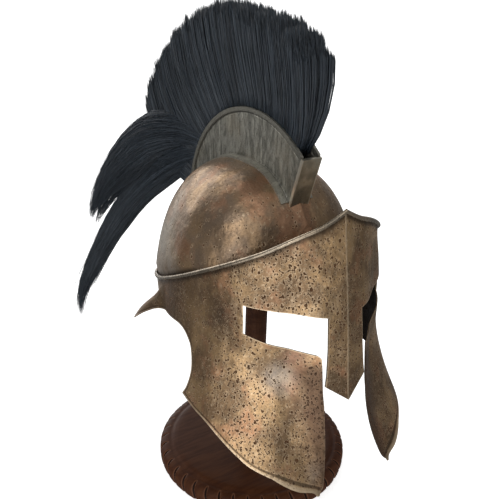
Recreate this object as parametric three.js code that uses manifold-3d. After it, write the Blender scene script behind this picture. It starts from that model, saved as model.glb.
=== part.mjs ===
// Spartan helmet with a horsehair crest, on a turned wooden stand.
// Millimetres, +Z up. The face looks along -Y and the wearer's right side is -X.
// The origin is the centre of the stand's underside.

import * as THREE from 'three';
import { mergeVertices } from 'three/addons/utils/BufferGeometryUtils.js';
import Module from 'manifold-3d';

const wasm = await Module();
wasm.setup();

// Driving dimensions: metal and fits
const sheet = 1.6;
const clearance = 0.3;

// Driving dimensions: face shell
const tipHeight = 81;
const faceHeight = 261;
const shellHalfWidth = 98;
const shellFront = 119;
const shellRear = 131;
const helmetForward = 6;
const flareReach = 100;
const snoutDepth = 21;
const snoutFlat = 18;
const snoutFade = 55;
const keelDepth = 3;
const nasalHalfWidth = 20;
const nasalTipHalfWidth = 24;
const eyeOuter = 82;
const mouthHalfGap = 26.5;
const tipHalfGap = 45;

// Driving dimensions: brow band and skull
const beadRadius = 2.4;
const ledgeWidth = 2.8;
const skullRise = 14.5;
const domeHeight = 196.5;
const skullCentre = 5;
const troughWidth = 48;
const troughDepth = 28;

// Driving dimensions: crest holder
const holderHalfWidth = 10;
const holderCentreY = 5;
const holderSink = 69.5;
const holderRadius = 121;
const holderRearAngle = 100;
const holderRimHeight = 4;
const holderRimProud = 1.2;
const flangeHalfWidth = 19;
const flangeThickness = 2;
const plateTopY = -77;
const plateFootY = -63;
const plateFootDrop = 25.5;
const plateThickness = 3;

// Driving dimensions: plume
const fanRadius = 227;
const fanFrontAngle = -36;
const fanRearAngle = 68;
const fanHalfThickness = 20;
const fanLocks = 13;
const lockDip = 0.045;

// Driving dimensions: stand
const baseRadius = 109;
const baseThickness = 20.6;
const baseTopRadius = 88;
const baseDish = 2.2;
const rope = 42;
const ropeDepth = 2.4;
const ropeLean = 0.75;
const postRadius = 12;
const headRadius = 38;
const headDepth = 26;

// Heights that follow from the sizes above
const skullTop = tipHeight + faceHeight + skullRise;
const skullMiddle = skullTop - domeHeight;
const holderCentreZ = skullTop - holderSink;
const plateFootZ = skullTop - plateFootDrop;

// How finely the round forms are cut
const columnAngles = [0, 4, 8, 12, 16, 21, 27, 33, 40, 47, 55, 63, 72, 82, 94, 106, 118, 130, 143, 156, 168, 180];
const shellRows = [0, 0.05, 0.1, 0.15, 0.2, 0.26, 0.33, 0.42, 0.52, 0.64, 0.77, 0.89, 1];
const skullRows = [0.1, 0.22, 0.34, 0.46, 0.56, 0.64, 0.7, 0.75, 0.8, 0.85, 0.9, 0.95, 1];

// The skull's dome takes this share of its rows, and its side view is this square
const domeShare = 0.8;
const domeFullness = 2.7;

// Level sections of the face shell, heights as shares of faceHeight above the cheek tips,
// depths and widths as shares of shellHalfWidth, shellFront and shellRear; corner is the
// squareness of the front half, 2 being an ellipse
const sectionTable = [
  { height: -0.1, width: 0.96, front: 1.02, rear: 0.92, corner: 2.8 },
  { height: 0.42, width: 0.985, front: 1.01, rear: 0.945, corner: 3.1 },
  { height: 0.6, width: 0.995, front: 1.005, rear: 1, corner: 3.05 },
  { height: 0.73, width: 0.99, front: 0.995, rear: 1, corner: 2.8 },
  { height: 0.86, width: 0.975, front: 0.98, rear: 1, corner: 2.55 },
  { height: 1.05, width: 0.97, front: 0.965, rear: 1, corner: 2.6 },
];
const rearCorner = 2.4;

// Lower rim round the shell: angle from the front, rim height as a share of faceHeight,
// distance from the helmet's axis as a share of shellFront, how far above the rim the sheet
// starts to turn out as a share of flareReach, and the power of its bend, under 1 for the
// neck guard, which turns out sharply and then runs nearly straight
const rimTable = [
  { angle: 0, height: -0.02, out: 1.47, reach: 1, bend: 1.7 },
  { angle: 15, height: 0, out: 1.452, reach: 1, bend: 1.7 },
  { angle: 22, height: 0.041, out: 1.418, reach: 1, bend: 1.7 },
  { angle: 29, height: 0.079, out: 1.382, reach: 1, bend: 1.7 },
  { angle: 35.6, height: 0.11, out: 1.339, reach: 1, bend: 1.7 },
  { angle: 42, height: 0.144, out: 1.277, reach: 1, bend: 1.7 },
  { angle: 49, height: 0.178, out: 1.202, reach: 1, bend: 1.7 },
  { angle: 57, height: 0.218, out: 1.135, reach: 1, bend: 1.7 },
  { angle: 73, height: 0.255, out: 1, reach: 1, bend: 1.7 },
  { angle: 90, height: 0.41, out: 0.87, reach: 0.9, bend: 1.7 },
  { angle: 108, height: 0.43, out: 0.87, reach: 0.5, bend: 1.5 },
  { angle: 118, height: 0.4, out: 1, reach: 0.38, bend: 0.9 },
  { angle: 125, height: 0.355, out: 1.15, reach: 0.33, bend: 0.6 },
  { angle: 131, height: 0.32, out: 1.205, reach: 0.31, bend: 0.48 },
  { angle: 138, height: 0.29, out: 1.24, reach: 0.31, bend: 0.45 },
  { angle: 150, height: 0.265, out: 1.27, reach: 0.32, bend: 0.45 },
  { angle: 180, height: 0.252, out: 1.29, reach: 0.34, bend: 0.45 },
];

// Line of the brow band round the shell, height as a share of faceHeight
const browTable = [
  { angle: 0, height: 1 },
  { angle: 5, height: 0.978 },
  { angle: 10, height: 0.959 },
  { angle: 16, height: 0.9425 },
  { angle: 23.5, height: 0.918 },
  { angle: 37, height: 0.864 },
  { angle: 52, height: 0.8065 },
  { angle: 75, height: 0.72 },
  { angle: 94, height: 0.655 },
  { angle: 129, height: 0.552 },
  { angle: 180, height: 0.471 },
];

// Side view of the lower edge, from the cheek tip to the back of the neck guard:
// depth as a share of shellRear, height as a share of faceHeight above the tips
const cheekRim = [
  { depth: -1.275, height: -0.003 },
  { depth: -1.24, height: 0.023 },
  { depth: -1.195, height: 0.041 },
  { depth: -1.1015, height: 0.079 },
  { depth: -1.049, height: 0.096 },
  { depth: -0.925, height: 0.126 },
  { depth: -0.859, height: 0.144 },
  { depth: -0.713, height: 0.179 },
  { depth: -0.565, height: 0.218 },
  { depth: -0.412, height: 0.234 },
  { depth: -0.244, height: 0.247 },
];
const neckRim = [
  { depth: -0.244, height: 0.247 },
  { depth: -0.275, height: 0.285 },
  { depth: -0.282, height: 0.345 },
  { depth: -0.248, height: 0.402 },
  { depth: -0.189, height: 0.448 },
  { depth: -0.073, height: 0.479 },
  { depth: 0.16, height: 0.471 },
  { depth: 0.336, height: 0.456 },
  { depth: 0.49, height: 0.412 },
  { depth: 0.66, height: 0.348 },
  { depth: 0.84, height: 0.297 },
  { depth: 1.03, height: 0.263 },
  { depth: 1.3, height: 0.246 },
  { depth: 1.8, height: 0.244 },
];

// Skull behind the raised brow: how far the dome's foot stands back from the band's inner
// edge and how far it lies below that edge, as shares of troughWidth and troughDepth; the
// sides and the back have no trough, the foot there is just above the edge and swells over it
const troughTable = [
  { angle: 0, back: 1, drop: 1 },
  { angle: 20, back: 0.88, drop: 0.93 },
  { angle: 40, back: 0.56, drop: 0.7 },
  { angle: 60, back: 0.22, drop: 0.28 },
  { angle: 76, back: 0.05, drop: -0.1 },
  { angle: 95, back: -0.055, drop: -0.5 },
  { angle: 180, back: -0.055, drop: -0.5 },
];

// Front view of the face opening, one half: heights as shares of faceHeight above the tips
const nasalEdge = [
  { across: 0, height: 0.314 },
  { across: nasalTipHalfWidth, height: 0.385 },
  { across: nasalTipHalfWidth - 1.5, height: 0.425 },
  { across: nasalHalfWidth + 0.8, height: 0.52 },
  { across: nasalHalfWidth, height: 0.641 },
];
const eyeEdge = [
  { across: 0, height: 0.641 },
  { across: 0.35, height: 0.656 },
  { across: 0.75, height: 0.672 },
  { across: 1, height: 0.678 },
  { across: 1.01, height: 0.574 },
  { across: 0.75, height: 0.546 },
  { across: 0.4, height: 0.52 },
];
const cheekEdge = [
  { across: 0.24, height: 0.508 },
  { across: 0.08, height: 0.499 },
  { across: 0.02, height: 0.478 },
  { across: 0, height: 0.38 },
  { across: 0, height: 0.27 },
  { across: 0.14, height: 0.169 },
  { across: 0.4, height: 0.088 },
  { across: 0.65, height: 0.038 },
  { across: 1, height: -0.003 },
  { across: 1.1, height: -0.16 },
];

// Outer edge of the standing fan by angle from the vertical, as a share of fanRadius
const fanEdge = [
  { angle: -36, reach: 0.62 },
  { angle: -33, reach: 0.68 },
  { angle: -28, reach: 0.79 },
  { angle: -24.5, reach: 0.855 },
  { angle: -21, reach: 0.885 },
  { angle: -15, reach: 0.9 },
  { angle: 4, reach: 0.925 },
  { angle: 14, reach: 0.972 },
  { angle: 30, reach: 1 },
  { angle: 46, reach: 1.027 },
  { angle: 56, reach: 1.055 },
  { angle: 74, reach: 1.063 },
];

// Tail of the plume: middle line of each lock and its half width, root first, as shares of
// fanRadius from the centre that the crest is round
const longLock = [
  { side: 0, back: 0.383, up: 0.256, half: 0.04 },
  { side: 0, back: 0.595, up: 0.198, half: 0.075 },
  { side: -0.062, back: 0.789, up: 0.079, half: 0.097 },
  { side: -0.172, back: 0.938, up: -0.11, half: 0.084 },
  { side: -0.282, back: 1.031, up: -0.322, half: 0.075 },
  { side: -0.383, back: 1.088, up: -0.537, half: 0.066 },
  { side: -0.458, back: 1.101, up: -0.714, half: 0.053 },
  { side: -0.498, back: 1.057, up: -0.859, half: 0.013 },
];
const shortLock = [
  { side: 0, back: 0.352, up: 0.286, half: 0.04 },
  { side: -0.009, back: 0.604, up: 0.322, half: 0.079 },
  { side: -0.079, back: 0.806, up: 0.286, half: 0.097 },
  { side: -0.176, back: 0.956, up: 0.154, half: 0.093 },
  { side: -0.264, back: 1.062, up: -0.018, half: 0.075 },
  { side: -0.326, back: 1.132, up: -0.185, half: 0.048 },
  { side: -0.361, back: 1.159, up: -0.317, half: 0.013 },
];

const degree = Math.PI / 180;

// Reading a table: a smooth curve through one column that never overshoots its rows
function readTable(table, key, column, at) {
  const x = table.map((row) => row[key]);
  const y = table.map((row) => row[column]);
  const last = x.length - 1;
  if (at <= x[0]) return y[0];
  if (at >= x[last]) return y[last];
  const slope = [];
  for (let i = 0; i < last; i += 1) slope.push((y[i + 1] - y[i]) / (x[i + 1] - x[i]));
  const tangent = x.map((_, i) => {
    if (i === 0) return slope[0];
    if (i === last) return slope[last - 1];
    if (slope[i - 1] * slope[i] <= 0) return 0;
    return (2 * slope[i - 1] * slope[i]) / (slope[i - 1] + slope[i]);
  });
  let i = 0;
  while (at > x[i + 1]) i += 1;
  const step = x[i + 1] - x[i];
  const t = (at - x[i]) / step;
  const startWeight = 2 * t ** 3 - 3 * t ** 2 + 1;
  const endWeight = 1 - startWeight;
  const startBend = t ** 3 - 2 * t ** 2 + t;
  const endBend = t ** 3 - t ** 2;
  return startWeight * y[i] + endWeight * y[i + 1] + step * (startBend * tangent[i] + endBend * tangent[i + 1]);
}

function easeBetween(low, high, at) {
  const t = Math.min(Math.max((at - low) / (high - low), 0), 1);
  return t * t * (3 - 2 * t);
}

// Closed skin over rings of points: the ends are closed by fans, or the last ring meets the first
function skin(rings, looped = false) {
  const count = rings[0].length;
  const points = rings.flat();
  const faces = [];
  const spans = looped ? rings.length : rings.length - 1;
  for (let i = 0; i < spans; i += 1) {
    const low = i * count;
    const high = ((i + 1) % rings.length) * count;
    for (let j = 0; j < count; j += 1) {
      const next = (j + 1) % count;
      faces.push(low + j, low + next, high + next, low + j, high + next, high + j);
    }
  }
  if (!looped) {
    for (const end of [0, rings.length - 1]) {
      const centre = rings[end].reduce((sum, p) => sum.add(p), new THREE.Vector3()).divideScalar(count);
      const hub = points.push(centre) - 1;
      for (let j = 0; j < count; j += 1) {
        const here = end * count + j;
        const next = end * count + ((j + 1) % count);
        if (end === 0) faces.push(hub, next, here);
        else faces.push(hub, here, next);
      }
    }
  }
  return orientOut(points, faces);
}

function orientOut(points, faces) {
  let volume = 0;
  for (let i = 0; i < faces.length; i += 3) {
    const [a, b, c] = [points[faces[i]], points[faces[i + 1]], points[faces[i + 2]]];
    volume += a.dot(b.clone().cross(c));
  }
  if (volume < 0) {
    for (let i = 0; i < faces.length; i += 3) [faces[i], faces[i + 1]] = [faces[i + 1], faces[i]];
  }
  const geometry = new THREE.BufferGeometry().setFromPoints(points);
  geometry.setIndex(faces);
  return geometry;
}

// Geometry to solid and back
function solidOf(geometry) {
  const plain = geometry.clone();
  plain.deleteAttribute('normal');
  plain.deleteAttribute('uv');
  const merged = mergeVertices(plain, 1e-4);
  return new wasm.Manifold(new wasm.Mesh({
    numProp: 3,
    vertProperties: new Float32Array(merged.attributes.position.array),
    triVerts: new Uint32Array(merged.index.array),
  }));
}

function geometryOf(solid) {
  const mesh = solid.getMesh();
  const geometry = new THREE.BufferGeometry();
  geometry.setAttribute('position', new THREE.BufferAttribute(new Float32Array(mesh.vertProperties), 3));
  geometry.setIndex(new THREE.BufferAttribute(new Uint32Array(mesh.triVerts), 1));
  return geometry;
}

// Prism whose outline is drawn in the side view (depth Y, height Z) and runs from x1 to x2
function sidePrism(outline, x1, x2) {
  const shape = new THREE.Shape(outline.map(([y, z]) => new THREE.Vector2(y, z)));
  const geometry = new THREE.ExtrudeGeometry(shape, { depth: x2 - x1, bevelEnabled: false });
  geometry.applyMatrix4(new THREE.Matrix4().set(0, 0, 1, x1, 1, 0, 0, 0, 0, 1, 0, 0, 0, 0, 0, 1));
  return solidOf(geometry);
}

// Prism whose outline is drawn in the front view (width X, height Z) and runs from y1 to y2
function frontPrism(outline, y1, y2) {
  const shape = new THREE.Shape(outline.map(([x, z]) => new THREE.Vector2(x, z)));
  const geometry = new THREE.ExtrudeGeometry(shape, { depth: y2 - y1, bevelEnabled: false });
  geometry.applyMatrix4(new THREE.Matrix4().set(1, 0, 0, 0, 0, 0, -1, y2, 0, 1, 0, 0, 0, 0, 0, 1));
  return solidOf(geometry);
}

// Angles of the columns round the whole helmet, the wearer's left side first
const turns = [...columnAngles, ...columnAngles.slice(1, -1).reverse().map((angle) => -angle)];

function heightAt(share) {
  return tipHeight + share * faceHeight;
}

function shareAt(z) {
  return (z - tipHeight) / faceHeight;
}

// Distance of the plain section from the helmet's axis, at an angle from the front
function sectionRadius(angle, share) {
  const front = angle < 90;
  const corner = front ? readTable(sectionTable, 'height', 'corner', share) : rearCorner;
  const width = shellHalfWidth * readTable(sectionTable, 'height', 'width', share);
  const depth = front
    ? shellFront * readTable(sectionTable, 'height', 'front', share)
    : shellRear * readTable(sectionTable, 'height', 'rear', share);
  const across = Math.abs(Math.sin(angle * degree)) / width;
  const along = Math.abs(Math.cos(angle * degree)) / depth;
  const plain = (across ** corner + along ** corner) ** (-1 / corner);
  return plain + snout(plain * Math.abs(Math.sin(angle * degree)), share, front);
}

// Distance of the shell's outer face from the axis, with the flare towards the rim
function shellRadius(turn, z) {
  const angle = Math.abs(turn);
  const rimShare = readTable(rimTable, 'angle', 'height', angle);
  const reach = flareReach * readTable(rimTable, 'angle', 'reach', angle);
  const flare = shellFront * readTable(rimTable, 'angle', 'out', angle) - sectionRadius(angle, rimShare);
  const fall = Math.min(Math.max(1 - (z - heightAt(rimShare)) / reach, 0), 1.25);
  return sectionRadius(angle, shareAt(z)) + flare * fall ** readTable(rimTable, 'angle', 'bend', angle);
}

// The nose and brow stand forward of the plain section, with a keel down the middle
function snout(across, share, front) {
  if (!front) return 0;
  const depth = snoutDepth * Math.max(1.03 - 1.45 * Math.max(share - 0.32, 0), 0);
  const keel = keelDepth * Math.max(1 - across / nasalHalfWidth, 0);
  return depth * (1 - easeBetween(snoutFlat, snoutFade, across)) + keel;
}

function polar(turn, radius, z) {
  const a = turn * degree;
  return new THREE.Vector3(radius * Math.sin(a), -helmetForward - radius * Math.cos(a), z);
}

function browHeight(turn) {
  return heightAt(readTable(browTable, 'angle', 'height', Math.abs(turn)));
}

// A point on the shell's face, set in along the surface normal by the given depth
function shellPoint(turn, z, inset) {
  const here = polar(turn, shellRadius(turn, z), z);
  if (inset === 0) return here;
  const step = 0.5;
  const along = polar(turn + step, shellRadius(turn + step, z), z)
    .sub(polar(turn - step, shellRadius(turn - step, z), z));
  const up = polar(turn, shellRadius(turn, z + step), z + step)
    .sub(polar(turn, shellRadius(turn, z - step), z - step));
  const outward = along.cross(up).normalize();
  return here.addScaledVector(outward, -inset);
}

// Face shell: one sheet with the cheeks, nasal and neck guard, open below the brow
function makeFaceShell() {
  const lowest = heightAt(-0.1);
  const ring = (share, inset) => turns.map((turn) => {
    const top = browHeight(turn) - beadRadius - clearance;
    return shellPoint(turn, lowest + share * (top - lowest), inset);
  });
  const outside = shellRows.map((share) => ring(share, 0));
  const inside = [...shellRows].reverse().map((share) => {
    const loop = ring(share, sheet);
    if (share === 1) loop.forEach((p, i) => { p.z = browHeight(turns[i]) - beadRadius - clearance; });
    return loop;
  });
  const wall = solidOf(skin([...outside, ...inside], true));
  return wall.subtract(belowRim()).subtract(faceOpening());
}

function smoothLine(rows, pointOf, steps) {
  const curve = new THREE.SplineCurve(rows.map(pointOf));
  return curve.getPoints(steps).map((p) => [p.x, p.y]);
}

// Everything under the lower edge, seen from the side
function belowRim() {
  const pointOf = (row) => new THREE.Vector2(row.depth * shellRear - helmetForward, heightAt(row.height));
  const cheek = smoothLine(cheekRim, pointOf, 22);
  const neck = smoothLine(neckRim, pointOf, 40).slice(1);
  const floor = heightAt(-0.3);
  const ahead = -3 * shellFront;
  const outline = [[ahead, floor], [ahead, cheek[0][1]], ...cheek, ...neck, [neck.at(-1)[0], floor]];
  const reach = 3 * shellHalfWidth;
  return sidePrism(outline, -reach, reach);
}

// Eye openings and the gap between the cheeks, seen from the front
function faceOpening() {
  const eyeSpan = eyeOuter - nasalHalfWidth;
  const tipSpan = tipHalfGap - mouthHalfGap;
  const eyeStart = nasalHalfWidth;
  const half = [
    ...nasalEdge.map((row) => [row.across, heightAt(row.height)]),
    ...eyeEdge.slice(1).map((row) => [eyeStart + row.across * eyeSpan, heightAt(row.height)]),
    ...cheekEdge.map((row) => [mouthHalfGap + row.across * tipSpan, heightAt(row.height)]),
  ];
  const mirror = half.slice(1).reverse().map(([x, z]) => [-x, z]);
  const front = -helmetForward - 3 * shellFront;
  return frontPrism([...half, ...mirror], front, -helmetForward - 0.25 * shellFront);
}

// Brow band: a rolled bead on a ledge that closes the space between shell and skull
function makeBrowBand() {
  const beadSteps = 6;
  const rings = turns.map((turn) => {
    const z = browHeight(turn);
    const radius = shellRadius(turn, z);
    const bead = [];
    for (let i = 0; i <= beadSteps; i += 1) {
      const a = (i / beadSteps - 0.5) * Math.PI;
      bead.push(polar(turn, radius - sheet / 2 + beadRadius * (0.4 + Math.cos(a)), z + beadRadius * Math.sin(a)));
    }
    const inner = radius - ledgeWidth;
    return [...bead, polar(turn, inner, z - beadRadius * 0.3), polar(turn, inner, z - beadRadius)];
  });
  return solidOf(skin(rings, true));
}

// Skull: a dome, then the trough that climbs from its foot to the band's inner edge
function skullPoint(turn, share) {
  const brow = browHeight(turn);
  const edgeZ = brow - beadRadius;
  const edgeRadius = shellRadius(turn, brow) - ledgeWidth - 2 * clearance;
  const back = troughWidth * readTable(troughTable, 'angle', 'back', Math.abs(turn));
  const drop = troughDepth * readTable(troughTable, 'angle', 'drop', Math.abs(turn));
  const foot = polar(turn, edgeRadius - back, edgeZ - drop);
  if (share > domeShare) return troughPoint(foot, polar(turn, edgeRadius, edgeZ), share);
  const t = share / domeShare;
  const height = skullTop - skullMiddle;
  const footOut = (1 - ((foot.z - skullMiddle) / height) ** domeFullness) ** (1 / domeFullness);
  const rise = (1 - (t * footOut) ** domeFullness) ** (1 / domeFullness);
  return new THREE.Vector3(foot.x * t, skullCentre + (foot.y - skullCentre) * t, skullMiddle + height * rise);
}

function troughPoint(foot, edge, share) {
  const t = (share - domeShare) / (1 - domeShare);
  const sag = 0.45 * Math.max(edge.z - foot.z, 0);
  const here = foot.clone().lerp(edge, t);
  here.z -= 3 * t * (1 - t) * sag;
  return here;
}

function skullSurface(offset) {
  return skullRows.map((share) => turns.map((turn) => {
    const here = skullPoint(turn, share);
    if (offset === 0) return here;
    const step = 0.004;
    const outer = skullPoint(turn, Math.min(share + step, 1));
    const inner = skullPoint(turn, share - step);
    const left = skullPoint(turn + 0.5, share);
    const right = skullPoint(turn - 0.5, share);
    const normal = left.sub(right).cross(inner.sub(outer)).normalize();
    return here.addScaledVector(normal, offset);
  }));
}

function makeSkull() {
  const outside = skullSurface(0);
  const inside = skullSurface(-sheet).reverse();
  return solidOf(skin([...outside, ...inside]));
}

// Solid block under a surface that runs parallel to the skull's outside
function skullBlock(offset, floorZ) {
  const outside = skullSurface(offset);
  const floor = outside.at(-1).map((p) => new THREE.Vector3(p.x, p.y, floorZ));
  return solidOf(skin([...outside, floor]));
}

// Fan of the side view round the crest's centre, between two angles from the vertical
function crestFan(radius, frontAngle, rearAngle, steps) {
  const outline = [[holderCentreY, holderCentreZ]];
  for (let i = 0; i <= steps; i += 1) {
    const a = (frontAngle + (i / steps) * (rearAngle - frontAngle)) * degree;
    outline.push([holderCentreY + radius * Math.sin(a), holderCentreZ + radius * Math.cos(a)]);
  }
  return outline;
}

// Slope of the front plate in the side view, and the plate's plane moved back by a distance
function plateLine(back) {
  const topZ = holderCentreZ + Math.sqrt(holderRadius ** 2 - (plateTopY - holderCentreY) ** 2);
  const foot = new THREE.Vector2(plateFootY, plateFootZ);
  const top = new THREE.Vector2(plateTopY, topZ);
  const along = top.clone().sub(foot).normalize();
  const behind = new THREE.Vector2(along.y, -along.x);
  const start = foot.clone().addScaledVector(along, -2 * flangeHalfWidth).addScaledVector(behind, back);
  const end = top.clone().addScaledVector(behind, back);
  return { start, end, along, behind };
}

// Everything in front of a plane parallel to the front plate
function aheadOfPlate(back) {
  const { start, end, along, behind } = plateLine(back);
  const far = end.clone().addScaledVector(along, holderRadius);
  const reach = 2 * holderRadius;
  return sidePrism([
    [start.x, start.y],
    [far.x, far.y],
    [far.x - behind.x * reach, far.y - behind.y * reach],
    [start.x - behind.x * reach, start.y - behind.y * reach],
  ], -flangeHalfWidth * 2, flangeHalfWidth * 2);
}

// Crest holder: an open channel on a flange that lies on the skull
function makeCrestHolder() {
  const seat = skullBlock(clearance, holderCentreZ - holderRadius);
  const flangeTop = skullBlock(clearance + flangeThickness, holderCentreZ - holderRadius);
  const wholeFan = crestFan(holderRadius, -60, holderRearAngle, 32);
  const flangeFan = crestFan(holderRadius, -55, holderRearAngle, 24);
  const flange = flangeTop.intersect(sidePrism(flangeFan, -flangeHalfWidth, flangeHalfWidth));
  const lowRim = holderRadius - holderRimHeight;
  const rim = sidePrism(wholeFan, -holderHalfWidth - holderRimProud, holderHalfWidth + holderRimProud)
    .subtract(sidePrism(crestFan(lowRim, -75, holderRearAngle + 15, 32), -flangeHalfWidth, flangeHalfWidth));
  const block = sidePrism(wholeFan, -holderHalfWidth, holderHalfWidth).add(rim);
  const hollow = sidePrism(
    crestFan(holderRadius * 1.3, -80, holderRearAngle + 40, 32),
    -holderHalfWidth + sheet,
    holderHalfWidth - sheet,
  ).subtract(flangeTop);
  return block.add(flange)
    .subtract(hollow)
    .subtract(aheadOfPlate(plateThickness + clearance))
    .subtract(seat);
}

function makeFrontPlate() {
  const seat = skullBlock(clearance, holderCentreZ - holderRadius);
  const { start, end, behind } = plateLine(0);
  const outline = [
    [start.x, start.y],
    [end.x, end.y],
    [end.x + behind.x * plateThickness, end.y + behind.y * plateThickness],
    [start.x + behind.x * plateThickness, start.y + behind.y * plateThickness],
  ];
  return sidePrism(outline, -holderHalfWidth - holderRimProud, holderHalfWidth + holderRimProud).subtract(seat);
}

// Plume: the standing fan, cut into locks along its edge
function makeFan() {
  const steps = fanLocks * 4;
  const rootHalf = holderHalfWidth - sheet - clearance;
  const rings = [];
  for (let i = 0; i <= steps; i += 1) {
    const share = i / steps;
    const a = (fanFrontAngle + share * (fanRearAngle - fanFrontAngle)) * degree;
    const lock = Math.abs(Math.cos(share * fanLocks * Math.PI));
    const reach = readTable(fanEdge, 'angle', 'reach', a / degree);
    const edge = fanRadius * reach * (1 - lockDip * (1 - lock));
    const spread = fanHalfThickness * (0.86 + 0.14 * lock);
    const at = (radius, across) => new THREE.Vector3(
      across,
      holderCentreY + radius * Math.sin(a),
      holderCentreZ + radius * Math.cos(a),
    );
    const low = holderRadius * 0.35;
    const rimRadius = holderRadius + clearance;
    const mid = (edge + rimRadius) / 2;
    rings.push([
      at(low, -rootHalf),
      at(rimRadius, -rootHalf),
      at(mid, -spread * 0.82),
      at(edge - spread * 0.35, -spread),
      at(edge, 0),
      at(edge - spread * 0.35, spread),
      at(mid, spread * 0.82),
      at(rimRadius, rootHalf),
      at(low, rootHalf),
    ]);
  }
  return solidOf(skin(rings));
}

function makeTailLock(rows) {
  const sides = 8;
  const middle = new THREE.CatmullRomCurve3(rows.map((row) => new THREE.Vector3(
    row.side * fanRadius,
    holderCentreY + row.back * fanRadius,
    holderCentreZ + row.up * fanRadius,
  )));
  const halves = rows.map((row, k) => ({ at: k / (rows.length - 1), half: row.half * fanRadius }));
  const steps = 12;
  const rings = [];
  for (let i = 0; i <= steps; i += 1) {
    const t = i / steps;
    const centre = middle.getPoint(t);
    const ahead = middle.getTangent(t);
    const wide = new THREE.Vector3(1, 0, 0).cross(ahead).normalize();
    const flat = ahead.clone().cross(wide).normalize();
    const half = readTable(halves, 'at', 'half', t);
    rings.push(Array.from({ length: sides }, (_, k) => {
      const a = (k / sides) * 2 * Math.PI;
      return centre.clone()
        .addScaledVector(wide, half * Math.cos(a))
        .addScaledVector(flat, 0.7 * half * Math.sin(a));
    }));
  }
  return solidOf(skin(rings));
}

function makePlume() {
  const floor = skullBlock(2 * clearance + flangeThickness, holderCentreZ - holderRadius);
  const root = sidePrism(
    crestFan(holderRadius - holderRimHeight, fanFrontAngle, holderRearAngle - 2, 24),
    -holderHalfWidth + sheet + clearance,
    holderHalfWidth - sheet - clearance,
  );
  const outside = sidePrism(crestFan(holderRadius + clearance, -90, holderRearAngle + 2, 32), -fanRadius, fanRadius)
    .subtract(sidePrism(
      crestFan(holderRadius * 1.1, -100, holderRearAngle + 60, 32),
      -holderHalfWidth + sheet + clearance,
      holderHalfWidth - sheet - clearance,
    ));
  let plume = root.add(makeFan());
  for (const rows of [longLock, shortLock]) plume = plume.add(makeTailLock(rows));
  return plume.subtract(outside).subtract(floor).subtract(aheadOfPlate(plateThickness + 2 * clearance));
}

// Stand base: a turned disc whose edge is carved as a rope
function makeStandBase() {
  const around = rope * 2;
  const edgeRows = [
    { radius: 0.96, height: 0 },
    { radius: 0.99, height: 0.1 },
    { radius: 1, height: 0.3 },
    { radius: 1, height: 0.5 },
    { radius: 0.99, height: 0.72 },
    { radius: 0.955, height: 0.9 },
    { radius: 0.92, height: 0.94 },
  ];
  const carved = edgeRows.map((row, i) => Array.from({ length: around }, (_, k) => {
    const a = ((k + ropeLean * i * 0.5) / around) * 2 * Math.PI;
    const onEdge = Math.sin((i / (edgeRows.length - 1)) * Math.PI);
    const radius = baseRadius * row.radius - (k % 2) * ropeDepth * onEdge;
    return new THREE.Vector3(radius * Math.cos(a), radius * Math.sin(a), baseThickness * row.height);
  }));
  const lean = (ropeLean * (edgeRows.length - 1) * 0.5) / around;
  const circle = (radius, z) => Array.from({ length: around }, (_, k) => {
    const a = (k / around + lean) * 2 * Math.PI;
    return new THREE.Vector3(radius * Math.cos(a), radius * Math.sin(a), z);
  });
  const seat = circle(postRadius, baseThickness - baseDish);
  return solidOf(skin([...carved, circle(baseTopRadius, baseThickness), seat]));
}

function makeStandPost() {
  const top = skullTop - sheet - clearance - headDepth;
  const bottom = baseThickness - baseDish + clearance;
  const geometry = new THREE.CylinderGeometry(postRadius, postRadius, top - bottom, 20);
  geometry.rotateX(Math.PI / 2);
  geometry.translate(0, 0, (top + bottom) / 2);
  return solidOf(geometry);
}

// Head of the stand: a plain round cap shaped to the inside of the skull
function makeStandHead() {
  const low = skullTop - sheet - headDepth;
  const profile = [
    new THREE.Vector2(0, low),
    new THREE.Vector2(postRadius + 4, low),
    new THREE.Vector2(headRadius, low + headDepth * 0.35),
    new THREE.Vector2(headRadius, skullTop),
    new THREE.Vector2(0, skullTop),
  ];
  const geometry = new THREE.LatheGeometry(profile, 24);
  geometry.rotateX(Math.PI / 2);
  return solidOf(geometry).intersect(skullBlock(-sheet - clearance, tipHeight));
}

// Finishes
const finishes = {
  bronze_skull: new THREE.MeshStandardMaterial({ color: 0x7d6148, roughness: 0.42, metalness: 0.9 }),
  bronze_face: new THREE.MeshStandardMaterial({ color: 0x8f6f4c, roughness: 0.45, metalness: 0.9 }),
  pewter: new THREE.MeshStandardMaterial({ color: 0x5a5a50, roughness: 0.5, metalness: 0.9 }),
  horsehair: new THREE.MeshStandardMaterial({ color: 0x0b0d11, roughness: 0.6, metalness: 0 }),
  mahogany: new THREE.MeshStandardMaterial({ color: 0x3c1c16, roughness: 0.4, metalness: 0 }),
};

const helmet = new THREE.Group();

function place(name, solid, finish) {
  const mesh = new THREE.Mesh(geometryOf(solid), finishes[finish]);
  mesh.name = name;
  helmet.add(mesh);
}

place('face_shell', makeFaceShell(), 'bronze_face');
place('brow_band', makeBrowBand(), 'bronze_face');
place('skull', makeSkull(), 'bronze_skull');
place('crest_holder', makeCrestHolder(), 'pewter');
place('crest_front_plate', makeFrontPlate(), 'pewter');
place('plume', makePlume(), 'horsehair');
place('stand_base', makeStandBase(), 'mahogany');
place('stand_post', makeStandPost(), 'mahogany');
place('stand_head', makeStandHead(), 'mahogany');

export default helmet;
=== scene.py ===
import math

import bmesh
import bpy
import numpy as np
from mathutils import Matrix, Vector


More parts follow.
